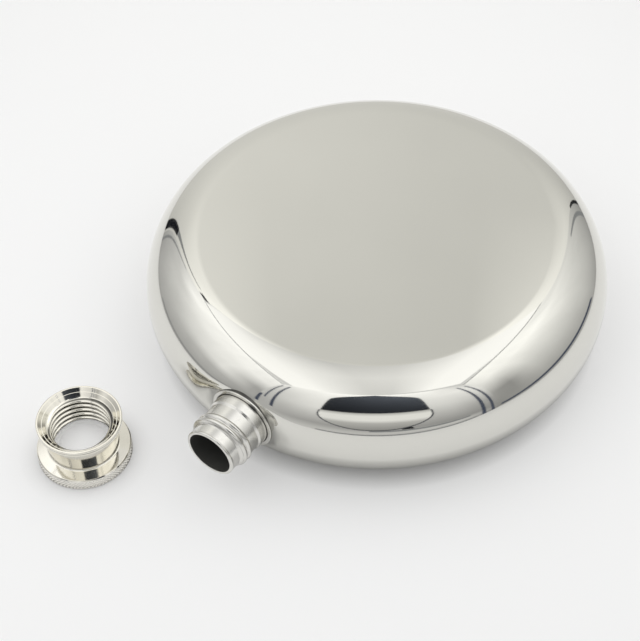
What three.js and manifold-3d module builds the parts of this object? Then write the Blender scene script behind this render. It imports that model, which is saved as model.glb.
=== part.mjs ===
// Round hip flask of polished steel, lying on its flat back, with its screw cap off.
// The cap stands beside the neck on its closed knurled end, mouth up.
// Millimetres, +Z up. The origin is the middle of the flat back face, on the surface that it lies on.

import * as THREE from 'three';
import { mergeVertices } from 'three/addons/utils/BufferGeometryUtils.js';
import Module from 'manifold-3d';

// Body: two pressed shells, welded edge to edge at half the thickness
const BODY_DIAMETER = 95;
const BODY_THICKNESS = 25;
const EDGE_DEPTH = 12;
const SHEET_THICKNESS = 0.7;

// Neck: a turned spout through the body's edge, pointing along -Y at half the thickness.
// Its lengths follow each other from the body's edge to the mouth.
const NECK_BORE_DIAMETER = 9.3;
const NECK_WALL = 0.7;
const NECK_ROOT_RISE = 0.7;
const NECK_MIDDLE_RISE = 0.4;
const THREAD_RISE = 0.8;
const NECK_ROOT_LENGTH = 1.05;
const NECK_STEP_LENGTH = 0.45;
const NECK_MIDDLE_LENGTH = 2.1;
const THREAD_LENGTH = 2.6;
const THREAD_RUNOUT = 0.55;
const NECK_END_LENGTH = 2.9;
const NECK_LIP_ROUNDING = 0.3;
const NECK_INSIDE_REACH = 0.8;

// Collar: a flat-faced ring round the neck's root, on a flat seat that is pressed into the body's edge
const SEAT_DEPTH = 1.5;
const COLLAR_WIDTH = 0.65;
const COLLAR_THICKNESS = 0.5;
const COLLAR_SEAT_GAP = 0.3;
const COLLAR_BORE_CLEARANCE = 0.2;
const SHELL_HOLE_CLEARANCE = 0.3;

// Cap: one turned piece with a knurled grip, a wall that leans outwards and a funnel-shaped mouth
const CAP_HEIGHT = 10.4;
const CAP_THREAD_CLEARANCE = 0.15;
const CAP_WALL = 0.57;
const CAP_WALL_FLARE = 1.08;
const CAP_END_THICKNESS = 2;
const GRIP_OVERHANG = 2.53;
const GRIP_HEIGHT = 2.6;
const GRIP_CHAMFER = 0.4;
const CAP_SHOULDER_RISE = 0.45;
const CAP_RIM_WIDTH = 0.5;
const CAP_RIM_HEIGHT = 1.05;
const CAP_RIM_SLOPE = 0.25;
const CAP_LIP_WIDTH = 0.6;
const CAP_FUNNEL_DEPTH = 1.3;

// Where the cap stands: beside the thread, and ahead of the body's edge
const CAP_SIDE_GAP = 11.85;
const CAP_AHEAD = 15.5;

// Liner: the loose sealing disc in the cap's closed end
const LINER_THICKNESS = 1;
const LINER_CLEARANCE = 0.3;
const LINER_ROUNDING = 0.2;

// Facets round each turned form, and steps along its curves
const BODY_FACETS = 72;
const NECK_FACETS = 48;
const CAP_FACETS = 64;
const EDGE_STEPS = 8;
const LIP_STEPS = 4;

// Radii and stations that follow from the sizes above
const bodyRadius = BODY_DIAMETER / 2;
const flatRadius = bodyRadius - EDGE_DEPTH;
const halfThickness = BODY_THICKNESS / 2;
const neckBoreRadius = NECK_BORE_DIAMETER / 2;
const neckEndRadius = neckBoreRadius + NECK_WALL;
const neckRootRadius = neckEndRadius + NECK_ROOT_RISE;
const neckMiddleRadius = neckEndRadius + NECK_MIDDLE_RISE;
const threadRadius = neckEndRadius + THREAD_RISE;
const stepBack = bodyRadius + NECK_ROOT_LENGTH;
const stepFront = stepBack + NECK_STEP_LENGTH;
const threadBack = stepFront + NECK_MIDDLE_LENGTH;
const threadFront = threadBack + THREAD_LENGTH;
const mouth = threadFront + NECK_END_LENGTH;
const seat = bodyRadius - SEAT_DEPTH;
const collarBoreRadius = neckRootRadius + COLLAR_BORE_CLEARANCE;
const capBoreRadius = threadRadius + CAP_THREAD_CLEARANCE;
const capWaistRadius = capBoreRadius + CAP_WALL;
const capWallTopRadius = capWaistRadius + CAP_WALL_FLARE;
const capRimRadius = capWallTopRadius + CAP_RIM_WIDTH;
const gripRadius = capWaistRadius + GRIP_OVERHANG;

const polishedSteel = new THREE.MeshStandardMaterial({ color: 0xd3d3cd, roughness: 0.06, metalness: 1 });
const turnedSteel = new THREE.MeshStandardMaterial({ color: 0xcfcec8, roughness: 0.2, metalness: 1 });
const warmPlating = new THREE.MeshStandardMaterial({ color: 0xd9d3c2, roughness: 0.12, metalness: 1 });
const sealingPlastic = new THREE.MeshStandardMaterial({ color: 0xd8d8d6, roughness: 0.6, metalness: 0 });

const wasm = await Module();
wasm.setup();

function point(radius, along) {
  return new THREE.Vector2(radius, along);
}

function arc(radius, along, sizeAcross, sizeAlong, from, to, steps) {
  const clockwise = to < from;
  const curve = new THREE.EllipseCurve(radius, along, sizeAcross, sizeAlong, from, to, clockwise);
  return curve.getPoints(steps);
}

// The body's rounded edge, from the flat to half the thickness, moved out by offset
function edgeCurve(offset) {
  return arc(flatRadius, 0, EDGE_DEPTH + offset, halfThickness + offset, Math.PI / 2, 0, EDGE_STEPS);
}

// How far from the flask's axis that edge lies at a height above half the thickness
function edgeReach(height, offset) {
  const share = height / (halfThickness + offset);
  return flatRadius + (EDGE_DEPTH + offset) * Math.sqrt(1 - share * share);
}

// A profile of radius and height, turned about the vertical axis
function turned(profile, facets) {
  return new THREE.LatheGeometry(profile, facets).rotateX(Math.PI / 2);
}

// A profile of radius and distance from the flask's axis, turned about the neck's axis
function turnedAlongNeck(profile) {
  return new THREE.LatheGeometry(profile, NECK_FACETS).rotateZ(Math.PI);
}

// A solid with shared corners, without the collapsed triangles where a profile meets its axis
function solidOf(geometry) {
  const bare = geometry.clone();
  bare.deleteAttribute('normal');
  bare.deleteAttribute('uv');
  const merged = mergeVertices(bare);
  const index = merged.index.array;
  const corners = [];
  for (let i = 0; i < index.length; i += 3) {
    const [a, b, c] = index.slice(i, i + 3);
    if (a !== b && b !== c && c !== a) {
      corners.push(a, b, c);
    }
  }
  const vertProperties = new Float32Array(merged.attributes.position.array);
  const triVerts = new Uint32Array(corners);
  return new wasm.Manifold(new wasm.Mesh({ numProp: 3, vertProperties, triVerts }));
}

function geometryOf(solid) {
  const mesh = solid.getMesh();
  const geometry = new THREE.BufferGeometry();
  geometry.setAttribute('position', new THREE.BufferAttribute(mesh.vertProperties, mesh.numProp));
  geometry.setIndex(new THREE.BufferAttribute(mesh.triVerts, 1));
  return geometry;
}

function namedMesh(name, geometry, material) {
  const faceted = geometry.toNonIndexed();
  faceted.computeVertexNormals();
  const mesh = new THREE.Mesh(faceted, material);
  mesh.name = name;
  return mesh;
}

// The whole body's outer form and its flat seat, grown by offset, with half its thickness at height 0
function bodySolid(offset) {
  const upper = [point(0, halfThickness + offset), ...edgeCurve(offset)];
  const lower = upper.slice(0, -1).map(({ x, y }) => point(x, -y));
  const round = solidOf(turned([...lower, ...upper.reverse()], BODY_FACETS));
  return round.trimByPlane([0, 1, 0], -(seat + offset));
}

// A plain rod or tube along the neck's axis, from inside the body to a distance from the flask's axis
function rodAlongNeck(innerRadius, outerRadius, end) {
  const profile = [
    point(innerRadius, flatRadius),
    point(outerRadius, flatRadius),
    point(outerRadius, end),
    point(innerRadius, end),
  ];
  return solidOf(turnedAlongNeck([...profile, profile[0]]));
}

// One pressed half of the body, with its half of the round hole that the neck passes through
function shellGeometry() {
  const sheet = bodySolid(0).subtract(bodySolid(-SHEET_THICKNESS));
  const hole = rodAlongNeck(0, neckRootRadius + SHELL_HOLE_CLEARANCE, mouth);
  return geometryOf(sheet.subtract(hole).trimByPlane([0, 0, 1], 0));
}

// The spout: root, step, middle, thread band, plain end and rounded lip, round one straight bore
function neckGeometry() {
  const innerEnd = edgeReach(neckRootRadius, -SHEET_THICKNESS) - NECK_INSIDE_REACH;
  const rounding = Math.min(NECK_LIP_ROUNDING, NECK_WALL / 2);
  const profile = [
    point(neckBoreRadius, innerEnd),
    point(neckRootRadius, innerEnd),
    point(neckRootRadius, stepBack),
    point(neckMiddleRadius, stepFront),
    point(neckMiddleRadius, threadBack),
    point(threadRadius, threadBack + THREAD_RUNOUT),
    point(threadRadius, threadFront - THREAD_RUNOUT),
    point(neckEndRadius, threadFront),
    ...arc(neckEndRadius - rounding, mouth - rounding, rounding, rounding, 0, Math.PI / 2, LIP_STEPS),
    point(neckBoreRadius, mouth),
  ];
  return turnedAlongNeck([...profile, profile[0]]);
}

// The collar: a ring with a flat face, its back cut to the seat and to the curved edge above and below it
function collarGeometry() {
  const face = seat + COLLAR_SEAT_GAP + COLLAR_THICKNESS;
  const ring = rodAlongNeck(collarBoreRadius, collarBoreRadius + COLLAR_WIDTH, face);
  return geometryOf(ring.subtract(bodySolid(COLLAR_SEAT_GAP)));
}

// The cap's section: closed end, grip, shoulder, leaning wall, rim, round lip, funnel and bore
function capShellGeometry() {
  const lipRadius = CAP_LIP_WIDTH / 2;
  const lipHeight = CAP_HEIGHT - lipRadius;
  const rimBottom = CAP_HEIGHT - CAP_RIM_HEIGHT;
  return turned([
    point(0, 0),
    point(gripRadius - GRIP_CHAMFER, 0),
    point(gripRadius, GRIP_CHAMFER),
    point(gripRadius, GRIP_HEIGHT),
    point(capWaistRadius, GRIP_HEIGHT + CAP_SHOULDER_RISE),
    point(capWallTopRadius, rimBottom - CAP_RIM_SLOPE),
    point(capRimRadius, rimBottom),
    ...arc(capRimRadius - lipRadius, lipHeight, lipRadius, lipRadius, 0, Math.PI, LIP_STEPS),
    point(capBoreRadius, lipHeight - CAP_FUNNEL_DEPTH),
    point(capBoreRadius, CAP_END_THICKNESS),
    point(0, CAP_END_THICKNESS),
  ], CAP_FACETS);
}

function linerGeometry() {
  const radius = capBoreRadius - LINER_CLEARANCE;
  return turned([
    point(0, 0),
    point(radius - LINER_ROUNDING, 0),
    point(radius, LINER_ROUNDING),
    point(radius, LINER_THICKNESS - LINER_ROUNDING),
    point(radius - LINER_ROUNDING, LINER_THICKNESS),
    point(0, LINER_THICKNESS),
  ], CAP_FACETS);
}

// The flask's pieces are made about half its thickness, where the two shells meet
function buildFlask() {
  const flask = new THREE.Group();
  flask.position.z = halfThickness;
  const shell = shellGeometry();
  const backShell = namedMesh('back_shell', shell, polishedSteel);
  backShell.rotation.y = Math.PI;
  flask.add(namedMesh('front_shell', shell, polishedSteel));
  flask.add(backShell);
  flask.add(namedMesh('neck', neckGeometry(), turnedSteel));
  flask.add(namedMesh('neck_collar', collarGeometry(), turnedSteel));
  return flask;
}

function buildCap() {
  const cap = new THREE.Group();
  cap.position.x = -(threadRadius + CAP_SIDE_GAP + gripRadius);
  cap.position.y = -(bodyRadius + CAP_AHEAD);
  const liner = namedMesh('cap_liner', linerGeometry(), sealingPlastic);
  liner.position.z = CAP_END_THICKNESS;
  cap.add(namedMesh('cap_shell', capShellGeometry(), warmPlating));
  cap.add(liner);
  return cap;
}

const hipFlask = new THREE.Group();
hipFlask.add(buildFlask());
hipFlask.add(buildCap());

export default hipFlask;
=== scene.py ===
"""Looks of a round hip flask of polished steel, with its screw cap standing beside the neck, mouth up."""

import math

import bpy
import numpy as np
from bpy.props import FloatProperty, FloatVectorProperty, IntProperty, PointerProperty
from mathutils import Matrix, Vector


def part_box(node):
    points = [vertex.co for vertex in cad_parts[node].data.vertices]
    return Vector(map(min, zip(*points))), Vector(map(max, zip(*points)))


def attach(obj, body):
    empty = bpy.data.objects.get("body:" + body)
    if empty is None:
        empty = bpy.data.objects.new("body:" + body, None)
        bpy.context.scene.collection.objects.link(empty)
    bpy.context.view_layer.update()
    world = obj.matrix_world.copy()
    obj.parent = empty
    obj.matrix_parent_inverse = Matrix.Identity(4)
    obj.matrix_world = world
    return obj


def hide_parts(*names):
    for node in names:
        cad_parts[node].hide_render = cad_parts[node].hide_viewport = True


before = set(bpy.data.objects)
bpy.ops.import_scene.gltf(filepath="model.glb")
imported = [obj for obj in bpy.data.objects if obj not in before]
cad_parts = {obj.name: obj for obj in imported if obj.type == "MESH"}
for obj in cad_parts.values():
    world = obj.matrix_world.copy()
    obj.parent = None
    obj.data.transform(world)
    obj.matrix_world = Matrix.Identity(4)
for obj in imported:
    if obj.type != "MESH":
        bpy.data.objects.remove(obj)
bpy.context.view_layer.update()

bl_info = {
    "name": "Round Hip Flask",
    "version": (1, 0, 0),
    "blender": (4, 5, 0),
    "location": "3D View > Sidebar > Hip Flask",
    "description": "Makes the polished shells, neck, collar, cap and sealing disc of a round hip flask",
    "category": "Object",
}

MM = 0.001
TAU = math.tau

# Fineness of the meshes
POINT_SIZE = 1e-9
STRAIGHT = 1e-6
HAIR = 0.005 * MM
ARC_STEPS = 6
LONGEST_ROUNDING = 0.49
EDGE_RINGS = 61
INNER_RINGS = 25
FLAT_RINGS = 13
HOLE_FACETS = 96
DISC_FACETS = 128
OPENING_STEPS = 60
NECK_STEP = 0.08 * MM
CAP_STEP = 0.09 * MM
DISC_STEP = 0.15 * MM

# Roundings of small edges, from a tool's sharp line to a broken edge
KEEN_EDGE = 0.02 * MM
CRISP_EDGE = 0.03 * MM
FINE_EDGE = 0.05 * MM
PLAIN_EDGE = 0.08 * MM
SOFT_EDGE = 0.1 * MM

# A mirror's face on the true form: how near, and how well turned to it
ON_FORM = 0.002
TURNED_TO_FORM = 0.9
SHARP_TURN = math.radians(30)

# Threads: share of the half width that a cut flank takes up, and of a turn that a thread fades over
CUT_FLANK = 0.8
THREAD_FADE = 0.15
NECK_THREAD_START = math.radians(-90)
CAP_THREAD_START = math.radians(40)

# Painted shade in grooves, creases and gaps: where it lies on a ridge by the ridge's own height, and how
# dark it is
RIDGE_FOOT = 0.12
FOOT_SHADE = 0.6
FLANK_DARK = 0.4
FLANK_UNSHADED = 0.95
KNURL_SHADE = 0.6
KNURL_SHADE_POWER = 4
DISC_SHADE = 0.85
# Cloudy wear: how far its patches darken the colour
CLOUDING = 0.14

# Stage
FLOOR_HALF_WIDTH = 3.0
STRIP_INWARD = 1 * MM
HEM_INWARD = 2 * MM
FLAP_INWARD = 3 * MM

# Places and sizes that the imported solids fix
FRONT_LOW, FRONT_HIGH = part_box("front_shell")
BACK_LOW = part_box("back_shell")[0]
NECK_LOW, NECK_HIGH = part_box("neck")
CAP_LOW, CAP_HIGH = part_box("cap_shell")
LINER_LOW, LINER_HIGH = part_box("cap_liner")
BODY_RADIUS = (FRONT_HIGH.x - FRONT_LOW.x) / 2
HALF_THICKNESS = (FRONT_HIGH.z - BACK_LOW.z) / 2
MIDDLE_HEIGHT = (FRONT_HIGH.z + BACK_LOW.z) / 2
MOUTH = -NECK_LOW.y
CAP_CENTRE = Vector(((CAP_LOW.x + CAP_HIGH.x) / 2, (CAP_LOW.y + CAP_HIGH.y) / 2, CAP_LOW.z))


def length(label, note, millimetres):
    """A length property, its default given in millimetres."""
    return FloatProperty(name=label, description=note, default=millimetres * MM, unit="LENGTH", precision=5)


def count(label, note, number, least):
    """A whole number of things round a piece."""
    return IntProperty(name=label, description=note, default=number, min=least)


def amount(label, note, share):
    """A share or power of light."""
    return FloatProperty(name=label, description=note, default=share, min=0)


def angle_of(label, note, degrees):
    """An angle property, its default given in degrees."""
    return FloatProperty(name=label, description=note, default=math.radians(degrees), subtype="ANGLE")


def finish_colour(label, note, colour):
    """A colour property, in linear light."""
    return FloatVectorProperty(name=label, description=note, subtype="COLOR", default=colour, min=0, max=1)


def plan_corner(label, note, right, ahead):
    """A corner on the floor, its default given in millimetres."""
    return FloatVectorProperty(name=label, description=note, size=2, default=(right * MM, ahead * MM),
                               unit="LENGTH")


class HipFlaskBody(bpy.types.PropertyGroup):
    """Sizes of the two pressed shells and the collar."""

    edge_depth: length("Edge depth", "How far in from the rim the rounded edge begins", 12)
    sheet: length("Sheet", "Thickness of the pressed sheet", 0.7)
    hole_radius: length("Neck hole", "Radius of the hole that the neck passes through", 6.35)
    seat_depth: length("Seat depth", "How far the edge is pressed flat round the neck", 1.35)
    seat_blend: length("Seat blend", "Softness of the edge of that flat", 0.25)
    collar_radius: length("Collar radius", "Outer radius of the collar", 6.9)
    collar_bore: length("Collar bore", "Inner radius of the collar", 6.1)
    collar_height: length("Collar height", "Height of the collar's face above its seat", 0.3)
    collar_rounding: length("Collar rounding", "Rounding of the collar's outer edge", 0.1)
    collar_sink: length("Collar sink", "How far the collar's back lies below the edge beside it", 0.1)
    # Painted shade: the crease and the seam beside the collar are darkened
    crease_width: length("Crease width", "Width of the dark crease between collar and neck", 0.25)
    seam_shadow: length("Seam shadow", "Height of the dark seam between collar and seat", 0.14)
    # Painted dark reflection of the neck and collar on the pressed seat: where the seat's colour is darkened
    seat_dark_near: length("Heat near", "How far from the collar the seat is fully dulled", 0.8)
    seat_dark_far: length("Heat far", "How far from the collar the dulling ends", 1.8)
    press_near: length("Press near", "How far the edge is pressed in where the dulling begins", 0.1)
    press_full: length("Press full", "How far the edge is pressed in where the dulling is full", 0.5)
    facets: count("Facets", "Steps round the body", 288, least=24)


class HipFlaskNeck(bpy.types.PropertyGroup):
    """Sizes of the turned neck and its rolled thread."""

    bore: length("Bore", "Radius of the straight bore", 4.7)
    end_radius: length("End radius", "Radius of the plain end behind the lip", 5.28)
    lip_flare: length("Lip flare", "How far the lip stands out from the plain end", 0.09)
    lip_length: length("Lip length", "Length of the flare at the mouth", 0.6)
    lip_height: length("Lip height", "Height of the lip's outer chamfer", 0.25)
    lip_chamfer: length("Lip chamfer", "Width of the lip's outer chamfer", 0.2)
    lip_blend: length("Lip blend", "Rounding where the flare begins", 0.5)
    lip_rounding: length("Lip rounding", "Rounding of the lip's chamfer", 0.15)
    bright_bore: length("Bright bore", "How far the turned finish reaches into the bore", 0.15)
    middle_radius: length("Middle radius", "Radius between the step and the thread", 5.75)
    root_radius: length("Root radius", "Radius at the body", 6.05)
    root_length: length("Root length", "Length of the root outside the body's edge", 1.0)
    step_length: length("Step length", "Length of the step down to the middle", 0.4)
    step_rounding: length("Step rounding", "Rounding of the steps between the stretches", 0.2)
    root_shadow: length("Root shadow", "Height of the dark crease above the collar", 0.2)
    runout_back: length("Run-out back", "How far behind the thread's last turn the neck narrows", 0.35)
    runout_front: length("Run-out front", "How far past the thread's last turn it has narrowed", 0.1)
    thread_length: length("Thread length", "Travel of the thread from its first to its last turn", 2.6)
    thread_setback: length("Thread setback", "Distance of the thread's last turn from the mouth", 2.6)
    thread_radius: length("Thread radius", "Radius of the thread's crest", 6.13)
    thread_width: length("Thread width", "Half width of the rolled ridge at its foot", 0.56)
    facets: count("Facets", "Steps round the neck", 192, least=24)


class HipFlaskCap(bpy.types.PropertyGroup):
    """Sizes of the screw cap, its thread and its sealing disc."""

    crease_radius: length("Crease radius", "Radius where the wall meets the shoulder", 6.87)
    crease_height: length("Crease height", "Height where the wall meets the shoulder", 3.05)
    crease_rounding: length("Crease rounding", "Rounding where the wall meets the shoulder", 0.4)
    wall_lean: length("Wall lean", "How far the wall leans out on its way up to the rim", 1.08)
    grip_height: length("Grip height", "Height of the knurled grip", 2.6)
    grip_chamfer: length("Grip chamfer", "Chamfer of the grip's upper edge", 0.25)
    grip_rounding: length("Grip rounding", "Rounding where the shoulder begins", 0.12)
    end_inset: length("End inset", "Width of the chamfer of the closed end", 0.35)
    end_chamfer: length("End chamfer", "Height of the chamfer of the closed end", 0.3)
    rim_radius: length("Rim radius", "Radius of the rim", 8.45)
    rim_height: length("Rim height", "Height of the plain rim above the leaning wall", 1.05)
    rim_step: length("Rim step", "Height of the slope from the wall out to the rim", 0.2)
    rim_inset: length("Rim inset", "How far the plain rim lies behind the bead", 0.06)
    bead_height: length("Bead height", "Height of the bead with the groove below it", 0.6)
    groove_inset: length("Groove inset", "Depth of the groove below the bead", 0.14)
    groove_middle: length("Groove middle", "Height of the groove's deepest line", 0.06)
    groove_height: length("Groove height", "Height of the groove", 0.16)
    groove_shadow: length("Groove shadow", "Reach of the dark in the groove", 0.08)
    lip_width: length("Lip width", "Width of the rounded lip", 0.4)
    lip_rounding: length("Lip rounding", "Rounding of the lip's outer edge", 0.2)
    funnel_depth: length("Funnel depth", "Depth of the funnel behind the lip", 1.3)
    funnel_radius: length("Funnel radius", "Radius at the foot of the funnel", 6.65)
    ledge_width: length("Ledge width", "Width of the fine ledge halfway down the funnel", 0.11)
    thread_root: length("Thread root", "Radius at the foot of the inner thread", 6.48)
    thread_depth: length("Thread depth", "Height of the inner thread", 0.75)
    thread_width: length("Thread width", "Half width of the inner thread at its foot", 0.54)
    thread_pitch: length("Thread pitch", "Travel of the thread in one turn, on the cap and on the neck", 1.3)
    thread_setback: length("Thread setback", "Depth of the thread's top below the funnel", 0.12)
    seat_radius: length("Seat radius", "Radius of the seat of the sealing disc", 6.3)
    seat_chamfer: length("Seat chamfer", "Height of the slope from the thread to the seat", 0.3)
    disc_shadow: length("Disc shadow", "Height of the dark ring above the sealing disc", 0.4)
    disc_foot: length("Disc foot", "Rounding of the disc's lower edge", 0.15)
    disc_rim: length("Disc rim", "Rounding of the disc's upper edge", 0.2)
    print_width: length("Print width", "Half width of the ring that the mouth pressed into the disc", 0.3)
    print_depth: length("Print depth", "Depth of that ring", 0.04)
    end_thickness: length("End thickness", "Thickness of the closed end, a hair below the disc", 1.97)
    knurl_depth: length("Knurl depth", "Depth of the diamond knurl", 0.3)
    knurl_teeth: count("Knurl teeth", "Diamonds round the grip", 80, least=8)
    steps_per_tooth: count("Steps per tooth", "Facets in one diamond", 8, least=2)
    knurl_margin: length("Knurl margin", "How far below the grip's top the knurled finish ends", 0.2)


class HipFlaskFinish(bpy.types.PropertyGroup):
    """Colours of the finishes."""

    steel: finish_colour("Polished steel", "Mirror of the pressed shells", (0.655, 0.648, 0.608))
    turned: finish_colour("Turned steel", "Neck and collar", (0.68, 0.67, 0.635))
    plating: finish_colour("Warm plating", "Cap", (0.76, 0.735, 0.66))
    # Painted light: the knurled and threaded platings are lightened copies of the warm plating
    knurl: finish_colour("Knurled plating", "Grip of the cap", (1.0, 0.975, 0.91))
    thread: finish_colour("Threaded plating", "Inner thread of the cap", (0.95, 0.919, 0.825))
    # Partly painted shade: the unpolished inside is made nearly black
    inside: finish_colour("Raw inside", "Unpolished metal inside the bottle", (0.1, 0.1, 0.093))
    sealing: finish_colour("Sealing disc", "Soft plastic in the cap", (0.97, 0.97, 0.97))
    # Painted light: the sealing disc glows faintly, though it is no lamp
    disc_painted_glow: amount("Sealing glow", "Light that the disc passes on", 0.1)
    floor: finish_colour("Floor", "Surface that the flask lies on", (0.62, 0.62, 0.622))
    floor_glow: amount("Floor glow", "White that the floor shows besides its own light", 0.31)
    floor_mirrored: amount("Floor mirrored", "The same, as the mirrors show it", 0.4)
    contact_reach: length("Contact reach", "How far the shadow beside a piece reaches over the floor", 4.4)
    contact_depth: amount("Contact depth", "How dark that shadow is", 1.0)
    mirrored_reach: length("Mirrored reach", "How far that shadow reaches, as the mirrors show it", 9)
    mirrored_depth: amount("Mirrored depth", "How dark it is, as the mirrors show it", 2.0)


class HipFlaskView(bpy.types.PropertyGroup):
    """Where the camera stands, seen from a point on the floor."""

    azimuth: angle_of("Azimuth", "Turn about the vertical from the neck's side", 36.6)
    elevation: angle_of("Elevation", "Angle above the floor", 48.29)
    roll: angle_of("Roll", "Turn about the line of sight", -2.15)
    distance: length("Distance", "From the point looked at to the lens", 349.2)
    aim: FloatVectorProperty(name="Aim", description="Point on the floor that is looked at", subtype="XYZ",
                             default=(-8.58 * MM, -8.47 * MM, 0), unit="LENGTH")
    lens: FloatProperty(name="Lens", description="Focal length in millimetres", default=92.5)
    sensor: FloatProperty(name="Sensor", description="Width of the sensor in millimetres", default=36)


class HipFlaskTent(bpy.types.PropertyGroup):
    """Sizes of the cloth light tent round the flask.

    Its corners are given as right and ahead, as the camera sees them.
    """

    height: length("Height", "From the floor to the roof", 300)
    left_back: plan_corner("Left back", "Left corner behind the flask", -178, 165)
    left_front: plan_corner("Left front", "Left corner on the camera's side", -203, -160)
    right_front: plan_corner("Right front", "Right corner on the camera's side", 165, -165)
    right_back: plan_corner("Right back", "Right corner behind the flask", 153, 150)
    opening_middle: length("Opening middle", "From the right front corner to the opening's middle", 175)
    opening_width: length("Opening width", "Width of the opening for the lens", 130)
    opening_foot: length("Opening foot", "Height of the opening's lowest point", 23)
    opening_round: length("Opening round", "Height where the opening's round foot ends", 80)
    opening_arch: length("Opening arch", "Height where the opening's arch begins", 185)
    opening_top: length("Opening top", "Height of the opening's highest point", 280)
    flap_top: length("Flap top", "Height up to which a pale flap closes the opening", 97)
    hem_width: length("Hem width", "Width of the dark hem round the flap", 3)


# Shapes

def filleted(corners, step):
    """Points along an outline of (across, along, rounding) corners, rounded and at most one step apart."""
    points = [np.array(corners[0][:2])]
    for before, corner, after in zip(corners, corners[1:], corners[2:]):
        middle = np.array(corner[:2])
        back = np.array(before[:2]) - middle
        ahead = np.array(after[:2]) - middle
        reach = min(np.linalg.norm(back), np.linalg.norm(ahead)) * LONGEST_ROUNDING
        back = back / np.linalg.norm(back)
        ahead = ahead / np.linalg.norm(ahead)
        half_angle = math.acos(np.clip(back @ ahead, -1, 1)) / 2
        tangent = min(corner[2] / math.tan(half_angle), reach)
        for t in np.linspace(0, 1, ARC_STEPS + 1):
            points.append(middle + back * tangent * (1 - t) ** 2 + ahead * tangent * t ** 2)
    points.append(np.array(corners[-1][:2]))
    dense = [points[0]]
    for start, end in zip(points, points[1:]):
        pieces = max(1, math.ceil(np.linalg.norm(end - start) / step))
        dense.extend(start + (end - start) * k / pieces for k in range(1, pieces + 1))
    return np.array(dense)


def thinned(outline, worked):
    """The outline without the inner points of straight stretches, apart from points that are worked later.

    One step is left at each end of a stretch, which keeps its shading flat.
    """
    ahead = np.diff(outline, axis=0)
    ahead = ahead / np.linalg.norm(ahead, axis=1, keepdims=True)
    bend = np.linalg.norm(np.diff(ahead, axis=0), axis=1)
    straight = np.concatenate([[False], bend < STRAIGHT, [False]])
    inner = straight & np.roll(straight, 1) & np.roll(straight, -1)
    return outline[worked | ~inner]


def ring_grid(across, along, facets):
    """Radius, height and angle of every corner of a turned form, one row for each point of its outline."""
    angle = np.arange(facets) * TAU / facets
    return np.repeat(across[:, None], facets, 1), np.repeat(along[:, None], facets, 1), angle[None, :]


def surface(name, corners, closed=False, painted_shade=None):
    """A smooth mesh over rows of rings. A row that has shrunk to one point becomes a pole.

    Painted shade tells how strongly the material darkens each corner, from 0 to 1.
    """
    facets = corners.shape[1]
    painted_shade = np.zeros(corners.shape[:2]) if painted_shade is None else painted_shade
    points = []
    depths = []
    starts = []
    for row, row_depths in zip(corners, painted_shade):
        is_pole = np.ptp(row, axis=0).max() < POINT_SIZE
        starts.append((len(points), is_pole))
        points.extend(row[:1] if is_pole else row)
        depths.extend(row_depths[:1] if is_pole else row_depths)
    faces = []
    pairs = list(zip(starts, starts[1:]))
    if closed:
        pairs.append((starts[-1], starts[0]))
    for (low, low_pole), (high, high_pole) in pairs:
        for k in range(facets):
            n = (k + 1) % facets
            if low_pole:
                faces.append((low, high + n, high + k))
            elif high_pole:
                faces.append((low + k, low + n, high))
            else:
                faces.append((low + k, low + n, high + n, high + k))
    mesh = bpy.data.meshes.new(name)
    mesh.from_pydata([tuple(p) for p in points], [], faces)
    mesh.attributes.new("painted_shade", "FLOAT", "POINT").data.foreach_set("value", depths)
    mesh.validate()
    mesh.shade_smooth()
    piece = bpy.data.objects.new(name, mesh)
    bpy.context.scene.collection.objects.link(piece)
    return piece


def upright(radius, height, angle):
    """Corners of a form turned about the vertical."""
    return np.stack([radius * np.cos(angle), radius * np.sin(angle), height + 0 * angle], -1)


def neckwise(radius, distance, angle):
    """Corners of a form turned about the neck's axis, at a distance from the flask's own axis."""
    across = radius * np.cos(angle)
    height = MIDDLE_HEIGHT + radius * np.sin(angle)
    return np.stack([across, -distance + 0 * angle, height], -1)


def edge_reach(height, body):
    """Distance of the body's rounded edge from the flask's axis, at a height from its middle."""
    share = height / HALF_THICKNESS
    return BODY_RADIUS - body.edge_depth + body.edge_depth * math.sqrt(1 - share * share)


def smooth_step(low, high, value):
    """From 0 at low to 1 at high, with a soft start and end."""
    share = np.clip((value - low) / (high - low), 0, 1)
    return share * share * (3 - 2 * share)


def triangle_wave(value):
    """From 0 to 1 and back once in each unit."""
    return 1 - np.abs(2 * (value % 1) - 1)


def rolled(gap):
    """Height of a rounded ridge, by the distance from its middle as a share of its half width."""
    return np.sqrt(0.5 + 0.5 * np.cos(np.pi * np.clip(gap, 0, 1)))


def cut(gap):
    """The same for a ridge with straight flanks and a narrow flat crest."""
    return np.clip((1 - gap) / CUT_FLANK, 0, 1)


def thread_ridge(profile, along, angle, low, high, pitch, half_width, start):
    """Height from 0 to 1 of a right-hand ridge that winds up from low to high, fading at both ends."""
    turns = (high - low) / pitch
    share = ((angle - start) / TAU) % 1
    height = np.zeros(np.broadcast(along, angle).shape)
    for turn in range(math.ceil(turns) + 1):
        wound = turn + share
        gap = np.abs(along - (low + pitch * wound)) / half_width
        rising = smooth_step(0, THREAD_FADE, wound)
        falling = smooth_step(turns - THREAD_FADE, turns, wound)
        height = np.maximum(height, profile(gap) * rising * (1 - falling))
    return height


# Materials

def new_group(name, inputs, outputs):
    """A shader node group with named value inputs and outputs."""
    group = bpy.data.node_groups.new(name, "ShaderNodeTree")
    for label, default in inputs.items():
        socket = group.interface.new_socket(label, in_out="INPUT", socket_type="NodeSocketFloat")
        socket.default_value = default
    for label in outputs:
        group.interface.new_socket(label, in_out="OUTPUT", socket_type="NodeSocketFloat")
    start = group.nodes.new("NodeGroupInput")
    end = group.nodes.new("NodeGroupOutput")
    return group, start, end


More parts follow.
